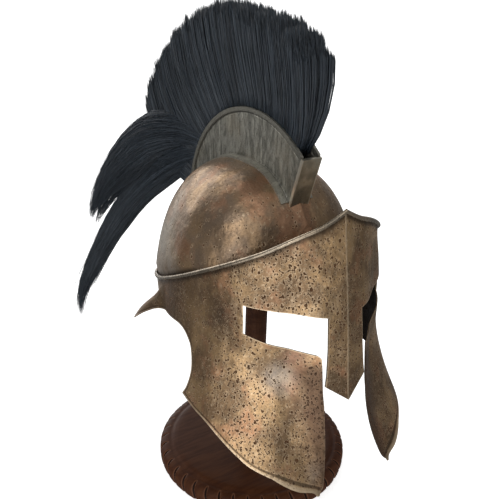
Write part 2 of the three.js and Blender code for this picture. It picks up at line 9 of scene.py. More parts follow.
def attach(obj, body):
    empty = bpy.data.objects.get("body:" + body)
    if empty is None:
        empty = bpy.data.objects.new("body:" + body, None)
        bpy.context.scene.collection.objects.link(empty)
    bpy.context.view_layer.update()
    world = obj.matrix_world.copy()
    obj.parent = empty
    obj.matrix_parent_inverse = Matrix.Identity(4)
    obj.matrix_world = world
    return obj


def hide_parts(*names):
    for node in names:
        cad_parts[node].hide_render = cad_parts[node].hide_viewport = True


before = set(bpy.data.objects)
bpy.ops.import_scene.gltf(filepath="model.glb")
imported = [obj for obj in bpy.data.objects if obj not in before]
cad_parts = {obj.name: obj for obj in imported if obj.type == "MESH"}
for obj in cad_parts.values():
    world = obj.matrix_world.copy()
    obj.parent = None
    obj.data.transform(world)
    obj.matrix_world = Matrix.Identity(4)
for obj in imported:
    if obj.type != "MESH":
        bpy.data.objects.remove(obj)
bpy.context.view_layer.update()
MM = 0.001

# Named sizes, the same as the solids'
SHEET = 1.6
TIP_HEIGHT = 81
FACE_HEIGHT = 261
SHELL_HALF_WIDTH = 98
SHELL_FRONT = 119
SHELL_REAR = 131
HELMET_FORWARD = 6
FLARE_REACH = 100
SNOUT_DEPTH = 21
SNOUT_FLAT = 18
SNOUT_FADE = 55
KEEL_DEPTH = 3
NASAL_HALF_WIDTH = 20
NASAL_TIP_HALF_WIDTH = 24
EYE_OUTER = 82
MOUTH_HALF_GAP = 26.5
TIP_HALF_GAP = 45
BEAD_RADIUS = 2.4
LEDGE_WIDTH = 2.8
SKULL_TOP = 356.5
SKULL_MIDDLE = 160
SKULL_CENTRE = 5
TROUGH_WIDTH = 48
TROUGH_DEPTH = 28
DOME_SHARE = 0.8
DOME_FULLNESS = 2.7
REAR_CORNER = 2.4
HOLDER_HALF_WIDTH = 10
HOLDER_CENTRE = (5, 287)
HOLDER_RADIUS = 121
FAN_RADIUS = 227
FAN_HALF_THICKNESS = 20
BASE_RADIUS = 109
BASE_THICKNESS = 20.6

# Named sizes of the scene alone: how far sheet and skull reach into the band, and where the tips are cut
SOLDER_OVERLAP = 0.8
TIP_CUT = 0.012
OPENING_BACK = -0.25 * SHELL_FRONT - HELMET_FORWARD
SHARP_ANGLE = 40
BASE_SHARP_ANGLE = 50
ROPE_CUTS = 42
ROPE_LEAN = 2.4
ROPE_DEPTH = 2.6
ROPE_CUT_WIDTH = 0.55

# The hair: radius of its roots, angles of roots and ends from the vertical, and how it gathers
HAIR_ROOT_RADIUS = 112
FAN_ROOT_START = -37
FAN_ROOT_SPAN = 125
FAN_EDGE_START = -24
FAN_EDGE_SPAN = 91
FAN_CLUMPS = 75
FAN_COUNT = 5200
LOCK_COUNT = 3000
LOCK_CLUMPS = 15
LOCK_DETAIL = 400
CORE_REACH = 0.975

# The photo's camera: angles in degrees, lens and sensor in millimetres, target and distance in metres
CAMERA_ANGLES = (35.1, 23.2, 1.8)
CAMERA_LENS = 46.8
CAMERA_SENSOR = 36
CAMERA_TARGET = (0, 0.0162, 0.2538)
CAMERA_DISTANCE = 0.699

# Level sections: height, width, front depth, rear depth, corner
SECTION = np.array([
    (-0.1, 0.96, 1.02, 0.92, 2.8),
    (0.42, 0.985, 1.01, 0.945, 3.1),
    (0.6, 0.995, 1.005, 1, 3.05),
    (0.73, 0.99, 0.995, 1, 2.8),
    (0.86, 0.975, 0.98, 1, 2.55),
    (1.05, 0.97, 0.965, 1, 2.6),
])
# Rim: angle, height, distance out, reach of the flare, power of its bend
RIM = np.array([
    (0, -0.02, 1.47, 1, 1.7), (15, 0, 1.452, 1, 1.7), (22, 0.041, 1.418, 1, 1.7),
    (29, 0.079, 1.382, 1, 1.7), (35.6, 0.11, 1.339, 1, 1.7), (42, 0.144, 1.277, 1, 1.7),
    (49, 0.178, 1.202, 1, 1.7), (57, 0.218, 1.135, 1, 1.7), (73, 0.255, 1, 1, 1.7),
    (90, 0.41, 0.87, 0.9, 1.7), (108, 0.43, 0.87, 0.5, 1.5), (118, 0.4, 1, 0.38, 0.9),
    (125, 0.355, 1.15, 0.33, 0.6), (131, 0.32, 1.205, 0.31, 0.48), (138, 0.29, 1.24, 0.31, 0.45),
    (150, 0.265, 1.27, 0.32, 0.45), (180, 0.252, 1.29, 0.34, 0.45),
])
# Brow line: angle, height
BROW = np.array([
    (0, 1), (5, 0.978), (10, 0.959), (16, 0.9425), (23.5, 0.918), (37, 0.864), (52, 0.8065),
    (75, 0.72), (94, 0.655), (129, 0.552), (180, 0.471),
])
# Skull's foot behind the brow: angle, distance back, drop
TROUGH = np.array([
    (0, 1, 1), (20, 0.88, 0.93), (40, 0.56, 0.7), (60, 0.22, 0.28), (76, 0.05, -0.1),
    (95, -0.055, -0.5), (180, -0.055, -0.5),
])
# Side view of the lower edge: depth, height
CHEEK_RIM = [
    (-1.275, -0.003), (-1.24, 0.023), (-1.195, 0.041), (-1.1015, 0.079), (-1.049, 0.096),
    (-0.925, 0.126), (-0.859, 0.144), (-0.713, 0.179), (-0.565, 0.218), (-0.412, 0.234),
    (-0.244, 0.247),
]
NECK_RIM = [
    (-0.244, 0.247), (-0.275, 0.285), (-0.282, 0.345), (-0.248, 0.402), (-0.189, 0.448),
    (-0.073, 0.479), (0.16, 0.471), (0.336, 0.456), (0.49, 0.412), (0.66, 0.348),
    (0.84, 0.297), (1.03, 0.263), (1.3, 0.246), (1.8, 0.244),
]
# Front view of the face opening: across, height
NASAL_EDGE = [
    (0, 0.314), (NASAL_TIP_HALF_WIDTH, 0.385), (NASAL_TIP_HALF_WIDTH - 1.5, 0.425),
    (NASAL_HALF_WIDTH + 0.8, 0.52), (NASAL_HALF_WIDTH, 0.641),
]
EYE_EDGE = [(0.35, 0.656), (0.75, 0.672), (1, 0.678), (1.01, 0.574), (0.75, 0.546), (0.4, 0.52)]
CHEEK_EDGE = [
    (0.24, 0.508), (0.08, 0.499), (0.02, 0.478), (0, 0.38), (0, 0.27), (0.14, 0.169),
    (0.4, 0.088), (0.65, 0.038), (1, -0.003), (1.1, -0.16),
]
# Stand base from the underside to the middle of its top: radius, height, share of the rope's depth
BASE_PROFILE = [
    (0.2, 0, 0), (0.95, 0, 0), (0.97, 0.01, 0.2), (0.985, 0.06, 0.6), (0.995, 0.14, 0.9), (1, 0.25, 1),
    (1, 0.36, 1), (1, 0.47, 1), (0.998, 0.58, 1), (0.99, 0.69, 1), (0.975, 0.79, 0.95),
    (0.955, 0.87, 0.8), (0.93, 0.92, 0.5), (0.905, 0.93, 0.1), (0.89, 0.915, 0), (0.875, 0.93, 0),
    (0.86, 0.975, 0), (0.84, 1, 0), (0.8, 1, 0), (0.7, 0.97, 0), (0.5, 0.93, 0), (0.3, 0.9, 0),
    (0.12, 0.893, 0),
]
# Edge of the standing hair: angle from the vertical, radius
FAN_EDGE = np.array([
    (-36, 0.62), (-33, 0.68), (-28, 0.79), (-24.5, 0.855), (-21, 0.885), (-15, 0.9), (4, 0.925),
    (14, 0.972), (30, 1), (46, 1.027), (56, 1.055), (74, 1.063),
])
# Locks of the tail: x, y, z, half width
LONG_LOCK = np.array([
    (0, 92, 345, 9), (0, 140, 332, 17), (-14, 184, 305, 22), (-39, 218, 262, 19),
    (-64, 239, 214, 18), (-87, 252, 165, 16), (-104, 255, 125, 13), (-112, 247, 93, 5),
], float)
SHORT_LOCK = np.array([
    (0, 85, 352, 9), (-2, 142, 358, 20), (-18, 188, 346, 28), (-40, 220, 314, 29),
    (-60, 244, 277, 23), (-74, 259, 243, 16), (-81, 264, 216, 7),
], float)


# Reading a table: a smooth curve through one column that never overshoots its rows
def read_table(table, column, at):
    x, y = table[:, 0], table[:, column]
    at = np.clip(np.asarray(at, float), x[0], x[-1])
    slope = np.diff(y) / np.diff(x)
    tangent = np.empty(len(x))
    tangent[0], tangent[-1] = slope[0], slope[-1]
    product = slope[:-1] * slope[1:]
    total = slope[:-1] + slope[1:]
    tangent[1:-1] = np.where(product > 0, 2 * product / np.where(total == 0, 1, total), 0)
    i = np.clip(np.searchsorted(x, at) - 1, 0, len(x) - 2)
    step = x[i + 1] - x[i]
    t = (at - x[i]) / step
    start = 2 * t ** 3 - 3 * t ** 2 + 1
    bend = (t ** 3 - 2 * t ** 2 + t) * tangent[i] + (t ** 3 - t ** 2) * tangent[i + 1]
    return start * y[i] + (1 - start) * y[i + 1] + step * bend


def ease(low, high, at):
    t = np.clip((at - low) / (high - low), 0, 1)
    return t * t * (3 - 2 * t)


def height_at(share):
    return TIP_HEIGHT + np.asarray(share) * FACE_HEIGHT


# Form of the shell
def section_radius(angle, share):
    front = angle < 90
    corner = np.where(front, read_table(SECTION, 4, share), REAR_CORNER)
    width = SHELL_HALF_WIDTH * read_table(SECTION, 1, share)
    depth = np.where(front, SHELL_FRONT * read_table(SECTION, 2, share),
                     SHELL_REAR * read_table(SECTION, 3, share))
    a = np.radians(angle)
    plain = ((np.abs(np.sin(a)) / width) ** corner + (np.abs(np.cos(a)) / depth) ** corner) ** (-1 / corner)
    across = plain * np.abs(np.sin(a))
    depth = SNOUT_DEPTH * np.maximum(1.03 - 1.45 * np.maximum(share - 0.32, 0), 0)
    snout = depth * (1 - ease(SNOUT_FLAT, SNOUT_FADE, across))
    snout += KEEL_DEPTH * np.maximum(1 - across / NASAL_HALF_WIDTH, 0)
    return plain + np.where(front, snout, 0)


def shell_radius(turn, z):
    angle = np.abs(turn)
    rim_share = read_table(RIM, 1, angle)
    reach = FLARE_REACH * read_table(RIM, 3, angle)
    flare = SHELL_FRONT * read_table(RIM, 2, angle) - section_radius(angle, rim_share)
    fall = np.clip(1 - (z - height_at(rim_share)) / reach, 0, 1.25)
    return section_radius(angle, (z - TIP_HEIGHT) / FACE_HEIGHT) + flare * fall ** read_table(RIM, 4, angle)


def polar(turn, radius, z):
    a = np.radians(turn)
    return np.stack(np.broadcast_arrays(radius * np.sin(a), -HELMET_FORWARD - radius * np.cos(a), z), -1)


def brow_height(turn):
    return height_at(read_table(BROW, 1, np.abs(turn)))


def shell_points(turn, z, inset):
    here = polar(turn, shell_radius(turn, z), z)
    step = 0.5
    along = polar(turn + step, shell_radius(turn + step, z), z) \
        - polar(turn - step, shell_radius(turn - step, z), z)
    up = polar(turn, shell_radius(turn, z + step), z + step) \
        - polar(turn, shell_radius(turn, z - step), z - step)
    outward = np.cross(along, up)
    outward /= np.linalg.norm(outward, axis=-1, keepdims=True)
    return here - inset * outward


# Form of the skull
def skull_points(turn, share):
    brow = brow_height(turn)
    edge_z = brow - BEAD_RADIUS + SOLDER_OVERLAP
    edge_radius = shell_radius(turn, brow) - LEDGE_WIDTH + 0.5 * SOLDER_OVERLAP
    back = TROUGH_WIDTH * read_table(TROUGH, 1, np.abs(turn))
    drop = TROUGH_DEPTH * read_table(TROUGH, 2, np.abs(turn))
    foot = polar(turn, edge_radius - back, edge_z - drop)
    edge = polar(turn, edge_radius, edge_z)
    t = np.minimum(share / DOME_SHARE, 1)
    height = SKULL_TOP - SKULL_MIDDLE
    full = DOME_FULLNESS
    foot_out = (1 - ((foot[..., 2] - SKULL_MIDDLE) / height) ** full) ** (1 / full)
    rise = (1 - (t * foot_out) ** full) ** (1 / full)
    dome = np.stack([foot[..., 0] * t, SKULL_CENTRE + (foot[..., 1] - SKULL_CENTRE) * t,
                     SKULL_MIDDLE + height * rise], -1)
    u = np.clip((share - DOME_SHARE) / (1 - DOME_SHARE), 0, 1)
    sag = 0.45 * np.maximum(edge[..., 2] - foot[..., 2], 0)
    trough = foot + (edge - foot) * u[..., None]
    trough[..., 2] -= 3 * u * (1 - u) * sag
    return np.where((share > DOME_SHARE)[..., None], trough, dome)


def skull_surface(turn, share, offset):
    here = skull_points(turn, share)
    step = 0.004
    outer = skull_points(turn, np.minimum(share + step, 1))
    inner = skull_points(turn, share - step)
    left = skull_points(turn + 0.5, share)
    right = skull_points(turn - 0.5, share)
    normal = np.cross(left - right, inner - outer)
    normal /= np.linalg.norm(normal, axis=-1, keepdims=True)
    return here + offset * normal


# Meshes
def make_mesh(name, points, faces, smooth=True):
    mesh = bpy.data.meshes.new(name)
    mesh.from_pydata((np.asarray(points) * MM).tolist(), [], faces)
    mesh.validate()
    mesh.update()
    if smooth:
        mesh.shade_smooth()
    piece = bpy.data.objects.new(name, mesh)
    bpy.context.collection.objects.link(piece)
    return piece


def ring_faces(rows, columns, looped):
    low = np.arange(rows if looped else rows - 1)
    high = (low + 1) % rows
    j = np.arange(columns)
    k = (j + 1) % columns
    quads = np.stack([low[:, None] * columns + j, low[:, None] * columns + k,
                      high[:, None] * columns + k, high[:, None] * columns + j], -1)
    return quads.reshape(-1, 4).tolist()


def orient_out(piece):
    work = bmesh.new()
    work.from_mesh(piece.data)
    bmesh.ops.recalc_face_normals(work, faces=work.faces)
    work.to_mesh(piece.data)
    work.free()


def closed_grid(name, grid, looped=True, caps=False):
    rows, columns = grid.shape[:2]
    faces = ring_faces(rows, columns, looped)
    if caps:
        faces.append(list(range(columns))[::-1])
        faces.append([(rows - 1) * columns + j for j in range(columns)])
    piece = make_mesh(name, grid.reshape(-1, 3), faces)
    orient_out(piece)
    return piece


# Smooth line through points, as a uniform Catmull-Rom curve
def smooth_line(points, steps):
    p = np.array(points, float)
    at = np.linspace(0, len(p) - 1, steps + 1)
    i = np.minimum(at.astype(int), len(p) - 2)
    t = (at - i)[:, None]
    p0 = p[np.where(i == 0, i, i - 1)]
    p1, p2 = p[i], p[i + 1]
    p3 = p[np.minimum(i + 2, len(p) - 1)]
    v0, v1 = (p2 - p0) / 2, (p3 - p1) / 2
    return (2 * p1 - 2 * p2 + v0 + v1) * t ** 3 + (-3 * p1 + 3 * p2 - 2 * v0 - v1) * t ** 2 + v0 * t + p1


# Prism between two planes, its outline in the side view (axis 0) or the front view (axis 1)
def prism(outline, low, high, axis):
    n = len(outline)
    ends = []
    for depth in (low, high):
        for a, z in outline:
            ends.append((depth, a, z) if axis == 0 else (a, depth, z))
    faces = [list(range(n)), [n + i for i in range(n)][::-1]]
    faces += [[i, (i + 1) % n, n + (i + 1) % n, n + i] for i in range(n)]
    piece = make_mesh("cutter", ends, faces, smooth=False)
    orient_out(piece)
    return piece


def cut_away(piece, other):
    modifier = piece.modifiers.new("cut", "BOOLEAN")
    modifier.operation = "DIFFERENCE"
    modifier.object = other
    modifier.solver = "MANIFOLD"
    bake(piece)
    mesh = other.data
    bpy.data.objects.remove(other)
    bpy.data.meshes.remove(mesh)


def bake(piece):
    depsgraph = bpy.context.evaluated_depsgraph_get()
    made = bpy.data.meshes.new_from_object(piece.evaluated_get(depsgraph))
    piece.modifiers.clear()
    old = piece.data
    piece.data = made
    bpy.data.meshes.remove(old)


# Outlines of the sheet's cut edges
def rim_outline():
    def place(rows):
        return [(depth * SHELL_REAR - HELMET_FORWARD, height_at(height)) for depth, height in rows]
    line = np.vstack([smooth_line(place(CHEEK_RIM), 120), smooth_line(place(NECK_RIM), 200)[1:]])
    line[:, 1] = np.maximum(line[:, 1], height_at(TIP_CUT))
    return line


def opening_outline():
    half = [(across, height_at(height)) for across, height in NASAL_EDGE]
    span = EYE_OUTER - NASAL_HALF_WIDTH
    half += [(NASAL_HALF_WIDTH + across * span, height_at(height)) for across, height in EYE_EDGE]
    span = TIP_HALF_GAP - MOUTH_HALF_GAP
    cheek = [(MOUTH_HALF_GAP + across * span, height_at(height)) for across, height in CHEEK_EDGE]
    half += smooth_line(cheek, 60).tolist()
    return np.array(half + [(-x, z) for x, z in half[:0:-1]])


def distance_to(line, points):
    a, b = line[:-1], line[1:]
    best = np.full(len(points), 1e9)
    for start, end in zip(a, b):
        along = end - start
        t = np.clip(((points - start) @ along) / max(along @ along, 1e-9), 0, 1)
        best = np.minimum(best, np.linalg.norm(points - start - t[:, None] * along, axis=1))
    return best


def add_attribute(piece, name, values):
    made = piece.data.attributes.new(name, "FLOAT", "POINT")
    made.data.foreach_set("value", np.asarray(values, np.float32))


def points_of(piece):
    flat = np.empty(len(piece.data.vertices) * 3)
    piece.data.vertices.foreach_get("co", flat)
    return flat.reshape(-1, 3) / MM


def own(piece, node):
    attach(piece, "root")
    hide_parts(node)


# Distance of each point from the middle of the band
def band_gap(points):
    across, along, z = points.T
    turn = np.degrees(np.arctan2(across, -(along + HELMET_FORWARD)))
    radius = np.hypot(across, along + HELMET_FORWARD)
    brow = brow_height(turn)
    return np.hypot(radius - shell_radius(turn, brow), z - brow)


# Face shell
TURNS = np.linspace(-180, 180, 289)[:-1]


def make_face_shell():
    lowest = height_at(-0.1)
    top = brow_height(TURNS) - BEAD_RADIUS + SOLDER_OVERLAP
    shares = np.linspace(0, 1, 84)[:, None]
    z = lowest + shares * (top - lowest)
    outside = shell_points(TURNS[None, :], z, 0)
    inside = shell_points(TURNS[None, :], z, SHEET)
    inside[-1, :, 2] = top
    piece = closed_grid("shell", np.vstack([outside, inside[::-1]]))
    rim = rim_outline()
    floor = height_at(-0.3)
    ahead = -3 * SHELL_FRONT
    below = [(ahead, floor), (ahead, rim[0][1]), *rim.tolist(), (rim[-1][0], floor)]
    cut_away(piece, prism(below, -3 * SHELL_HALF_WIDTH, 3 * SHELL_HALF_WIDTH, 0))
    opening = opening_outline()
    cut_away(piece, prism(opening.tolist(), -3 * SHELL_FRONT, OPENING_BACK, 1))
    piece.data.shade_smooth()
    piece.data.set_sharp_from_angle(angle=math.radians(SHARP_ANGLE))
    p = points_of(piece)
    on_ridge = (np.abs(p[:, 0]) < 0.01) & (p[:, 1] < 0)
    for edge in piece.data.edges:
        if on_ridge[edge.vertices[0]] and on_ridge[edge.vertices[1]]:
            edge.use_edge_sharp = True
    turn = np.degrees(np.arctan2(p[:, 0], -(p[:, 1] + HELMET_FORWARD)))
    radius = np.hypot(p[:, 0], p[:, 1] + HELMET_FORWARD)
    add_attribute(piece, "inner", (shell_radius(turn, p[:, 2]) - radius > 0.5 * SHEET).astype(float))
    rim_gap = distance_to(rim, p[:, 1:])
    opening_gap = distance_to(opening, p[:, [0, 2]])
    opening_gap[p[:, 1] > OPENING_BACK] = 99
    add_attribute(piece, "rim_gap", rim_gap)
    add_attribute(piece, "edge_gap", np.minimum(rim_gap, opening_gap))
    add_attribute(piece, "band_gap", band_gap(p))
    own(piece, "face_shell")
    return piece


def make_brow_band():
    z = brow_height(TURNS)
    radius = shell_radius(TURNS, z)
    rows = []
    for i in range(13):
        a = (i / 12 - 0.5) * math.pi
        rows.append(polar(TURNS, radius - SHEET / 2 + BEAD_RADIUS * (0.4 + math.cos(a)),
                          z + BEAD_RADIUS * math.sin(a)))
    rows.append(polar(TURNS, radius - LEDGE_WIDTH, z - BEAD_RADIUS * 0.3))
    rows.append(polar(TURNS, radius - LEDGE_WIDTH, z - BEAD_RADIUS))
    piece = closed_grid("band", np.stack(rows))
    piece.data.set_sharp_from_angle(angle=math.radians(SHARP_ANGLE))
    own(piece, "brow_band")
    return piece


def make_skull():
    shares = np.concatenate([np.linspace(0.01, DOME_SHARE, 62), np.linspace(DOME_SHARE, 1, 18)[1:]])[:, None]
    turn = np.broadcast_to(TURNS, (len(shares), len(TURNS)))
    share = np.broadcast_to(shares, turn.shape)
    outside = skull_surface(turn, share, 0)
    inside = skull_surface(turn, share, -SHEET)
    piece = closed_grid("skull_dome", np.vstack([outside, inside[::-1]]), looped=False, caps=True)
    piece.data.set_sharp_from_angle(angle=math.radians(SHARP_ANGLE))
    add_attribute(piece, "band_gap", band_gap(points_of(piece)))
    own(piece, "skull")
    return piece


# Stand base, with its edge carved as a rope
def make_base():
    columns = 720
    turns = np.arange(columns) / columns * 2 * math.pi
    grid = []
    depth = []
    for radius, height, carved in BASE_PROFILE:
        phase = (turns * ROPE_CUTS + height * ROPE_LEAN) % (2 * math.pi)
        cut = np.exp(-((phase - math.pi) / ROPE_CUT_WIDTH) ** 2)
        r = BASE_RADIUS * radius - carved * ROPE_DEPTH * cut
        depth.append(carved * cut)
        grid.append(np.stack([r * np.cos(turns), r * np.sin(turns),
                              np.full(columns, BASE_THICKNESS * height)], -1))
    piece = closed_grid("base_disc", np.stack(grid), looped=False, caps=True)
    piece.data.set_sharp_from_angle(angle=math.radians(BASE_SHARP_ANGLE))
    add_attribute(piece, "cut", np.concatenate(depth))
    own(piece, "stand_base")
    return piece


# Hair: tapered three-sided strands along given middle lines
def strands(name, lines, widths, seed):
    count, steps = lines.shape[:2]
    rng = np.random.default_rng(seed)
    tangent = np.gradient(lines, axis=1)
    tangent /= np.linalg.norm(tangent, axis=2, keepdims=True) + 1e-9
    helper = rng.normal(size=(count, 1, 3))
    side = np.cross(tangent, helper)
    side /= np.linalg.norm(side, axis=2, keepdims=True) + 1e-9
    other = np.cross(tangent, side)
    rings = []
    for k in range(3):
        a = k / 3 * 2 * math.pi
        rings.append(lines + widths[..., None] / 2 * (side * math.cos(a) + other * math.sin(a)))
    body = np.stack(rings, 2)[:, :-1]
    tips = lines[:, -1]
    each = (steps - 1) * 3
    points = np.concatenate([body.reshape(count, -1, 3), tips[:, None]], 1)
    quads = []
    for i in range(steps - 2):
        for k in range(3):
            m = (k + 1) % 3
            quads.append((i * 3 + k, i * 3 + m, i * 3 + 3 + m, i * 3 + 3 + k))
    last = (steps - 2) * 3
    ends = [(last + k, last + (k + 1) % 3, each) for k in range(3)] + [(2, 1, 0)]
    starts = (np.arange(count) * (each + 1))[:, None, None]
    quads = (starts + np.array(quads)[None]).reshape(-1)
    ends = (starts + np.array(ends)[None]).reshape(-1)
    mesh = bpy.data.meshes.new(name)
    mesh.vertices.add(count * (each + 1))
    mesh.vertices.foreach_set("co", (points.reshape(-1) * MM).astype(np.float32))
    total = len(quads) // 4 + len(ends) // 3
    mesh.loops.add(len(quads) + len(ends))
    mesh.loops.foreach_set("vertex_index", np.concatenate([quads, ends]).astype(np.int32))
    mesh.polygons.add(total)
    loop_start = np.concatenate([np.arange(0, len(quads), 4), len(quads) + np.arange(0, len(ends), 3)])
    mesh.polygons.foreach_set("loop_start", loop_start.astype(np.int32))
    mesh.update(calc_edges=True)
    mesh.validate()
    mesh.shade_smooth()
    tone = np.repeat(rng.random(count), each + 1)
    made = mesh.attributes.new("tone", "FLOAT", "POINT")
    made.data.foreach_set("value", tone.astype(np.float32))
    piece = bpy.data.objects.new(name, mesh)
    bpy.context.collection.objects.link(piece)
    return piece


def fan_path(root_angle, edge_angle, root_x, edge_x, reach):
    t = np.array([0, 0.25, 0.5, 0.75, 0.94, 1])[None, :]
    angle = np.radians(root_angle[:, None] + (edge_angle - root_angle)[:, None] * t ** 1.5)
    root = HAIR_ROOT_RADIUS
    edge = FAN_RADIUS * read_table(FAN_EDGE, 1, edge_angle) * reach
    radius = root + (edge - root)[:, None] * t
    x = root_x[:, None] + (edge_x - root_x)[:, None] * np.sin(t * math.pi / 2) ** 1.2
    y0, z0 = HOLDER_CENTRE
    return np.stack([x, y0 + radius * np.sin(angle), z0 + radius * np.cos(angle)], -1)


def make_fan(name, count, seed):
    rng = np.random.default_rng(seed)
    share = rng.random(count)
    root_angle = FAN_ROOT_START + FAN_ROOT_SPAN * share
    edge_angle = np.clip(FAN_EDGE_START + FAN_EDGE_SPAN * share + rng.normal(0, 0.5, count), -25.5, 68)
    u = rng.uniform(-1, 1, count)
    u = np.sign(u) * np.abs(u) ** 0.7
    root_x = u * (HOLDER_HALF_WIDTH - SHEET - 1)
    lock = np.abs(np.cos(share * 13 * math.pi + 0.4 * np.sin(share * 31)))
    edge_x = u * FAN_HALF_THICKNESS * (0.93 + 0.09 * lock) + rng.normal(0, 0.4, count)
    place = share * FAN_CLUMPS + 0.8 * np.sin(u * 5 + share * 40) + 3
    clump = place.astype(int)
    off_middle = place - clump - 0.5
    edge_angle -= 0.75 * off_middle * FAN_EDGE_SPAN / FAN_CLUMPS
    offset = np.random.default_rng(5).uniform(-1, 1, 90)[clump]
    reach = 1.036 - 0.03 * (1 - lock) - 0.04 * u ** 4 + 0.01 * offset - 0.05 * np.abs(off_middle)
    reach -= np.abs(rng.normal(0, 0.004, count))
    reach -= np.where(rng.random(count) < 0.12, rng.uniform(0, 0.08, count), 0)
    reach += np.where(rng.random(count) < 0.012, rng.uniform(0, 0.02, count), 0)
    lines = fan_path(root_angle, edge_angle, root_x, edge_x, reach)
    widths = rng.uniform(0.6, 1.0, count)[:, None] * np.array([1, 1, 1, 1, 0.9, 0])[None, :]
    piece = strands(name, lines, widths, seed + 1)
    own(piece, "plume")
    return piece


# The wide and the flat direction across a lock, along its middle line
def lock_axes(middle):
    tangent = np.gradient(middle, axis=0)
    tangent /= np.linalg.norm(tangent, axis=1, keepdims=True)
    wide = np.cross([1, 0, 0], tangent)
    wide /= np.linalg.norm(wide, axis=1, keepdims=True)
    return wide, np.cross(tangent, wide)


# A lock of the tail: its hair gathers into smaller locks of different lengths towards the end
def make_lock(name, rows, count, seed, steps, spread):
    rng = np.random.default_rng(seed)
    clump = rng.integers(0, LOCK_CLUMPS, count)
    clump_turn = rng.uniform(0, 2 * math.pi, LOCK_CLUMPS)[clump][:, None]
    clump_out = np.sqrt(rng.random(LOCK_CLUMPS))[clump][:, None]
    clump_end = rng.uniform(0.74, 1.0, LOCK_CLUMPS)[clump]
    length = clump_end * (1 - 0.24 * rng.random(count) ** 1.4)
    length *= np.where(rng.random(count) < 0.25, rng.uniform(0.6, 1, count), 1)
    at = np.linspace(0, 1, steps)[None, :] * length[:, None]
    fine = smooth_line(rows, LOCK_DETAIL)
    middle = fine[:, :3]
    half = fine[:, 3]
    wide, flat = lock_axes(middle)
    k = np.clip((at * LOCK_DETAIL).astype(int), 0, LOCK_DETAIL)
    a = rng.uniform(0, 2 * math.pi, count)[:, None]
    out = np.sqrt(rng.random(count))[:, None] ** 0.7
    wave = 0.05 * np.sin(at * rng.uniform(5, 11, (count, 1)) + rng.uniform(0, 6.3, (count, 1)))
    size = np.maximum(half[k], spread * at)
    pull = 0.78 * ease(0.5, 1.0, at / clump_end[:, None])
    out_wide = (1 - pull) * (out + wave) * np.cos(a) + pull * clump_out * np.cos(clump_turn)
    out_flat = (1 - pull) * (out + wave) * np.sin(a) + pull * clump_out * np.sin(clump_turn)
    lines = middle[k] + wide[k] * (size * out_wide)[..., None] + flat[k] * (0.75 * size * out_flat)[..., None]
    stray = np.where(rng.random(count) < 0.05, 6.0, 1.1)[:, None, None]
    lines += rng.normal(0, 1, (count, 1, 3)) * stray * at[..., None] ** 2
    taper = np.concatenate([np.linspace(1, 0.9, steps - 3), [0.75, 0.5, 0]])
    widths = rng.uniform(0.5, 0.85, count)[:, None] * taper[None, :]
    piece = strands(name, lines, widths, seed + 1)
    own(piece, "plume")
    return piece


# Dark mass inside the hair, a little smaller than the hair's outline
def make_hair_core():
    rings = []
    for share in np.linspace(0, 1, 40):
        angle = np.radians(-35 + 120 * share)
        edge_angle = np.radians(-23 + 88 * share)
        edge = FAN_RADIUS * float(read_table(FAN_EDGE, 1, math.degrees(edge_angle))) * CORE_REACH
        ring = []
        side = [(HAIR_ROOT_RADIUS, 8), (135, 9.5), (165, 13), (edge - 8, 15), (edge, 8)]
        for radius, across in [(radius, -across) for radius, across in side] + side[::-1]:
            radius = min(radius, edge)
            t = max((radius - HAIR_ROOT_RADIUS) / (edge - HAIR_ROOT_RADIUS), 0) ** 1.5
            a = angle + (edge_angle - angle) * t
            ring.append((across, HOLDER_CENTRE[0] + radius * math.sin(a),
                         HOLDER_CENTRE[1] + radius * math.cos(a)))
        rings.append(ring)
    piece = closed_grid("hair_core_fan", np.array(rings, float), looped=False, caps=True)
    own(piece, "plume")
    dress(piece, hair)
    for name, rows in (("hair_core_long", LONG_LOCK), ("hair_core_short", SHORT_LOCK)):
        fine = smooth_line(rows, 40)[:31]
        wide, flat = lock_axes(fine[:, :3])
        a = np.arange(12) / 12 * 2 * math.pi
        thin = np.linspace(0.8, 0.3, len(fine))[:, None, None]
        size = fine[:, 3][:, None, None] * thin
        grid = fine[:, None, :3] + size * (wide[:, None] * np.cos(a)[None, :, None]
                                           + 0.75 * flat[:, None] * np.sin(a)[None, :, None])
        piece = closed_grid(name, grid, looped=False, caps=True)
        own(piece, "plume")
        dress(piece, hair)


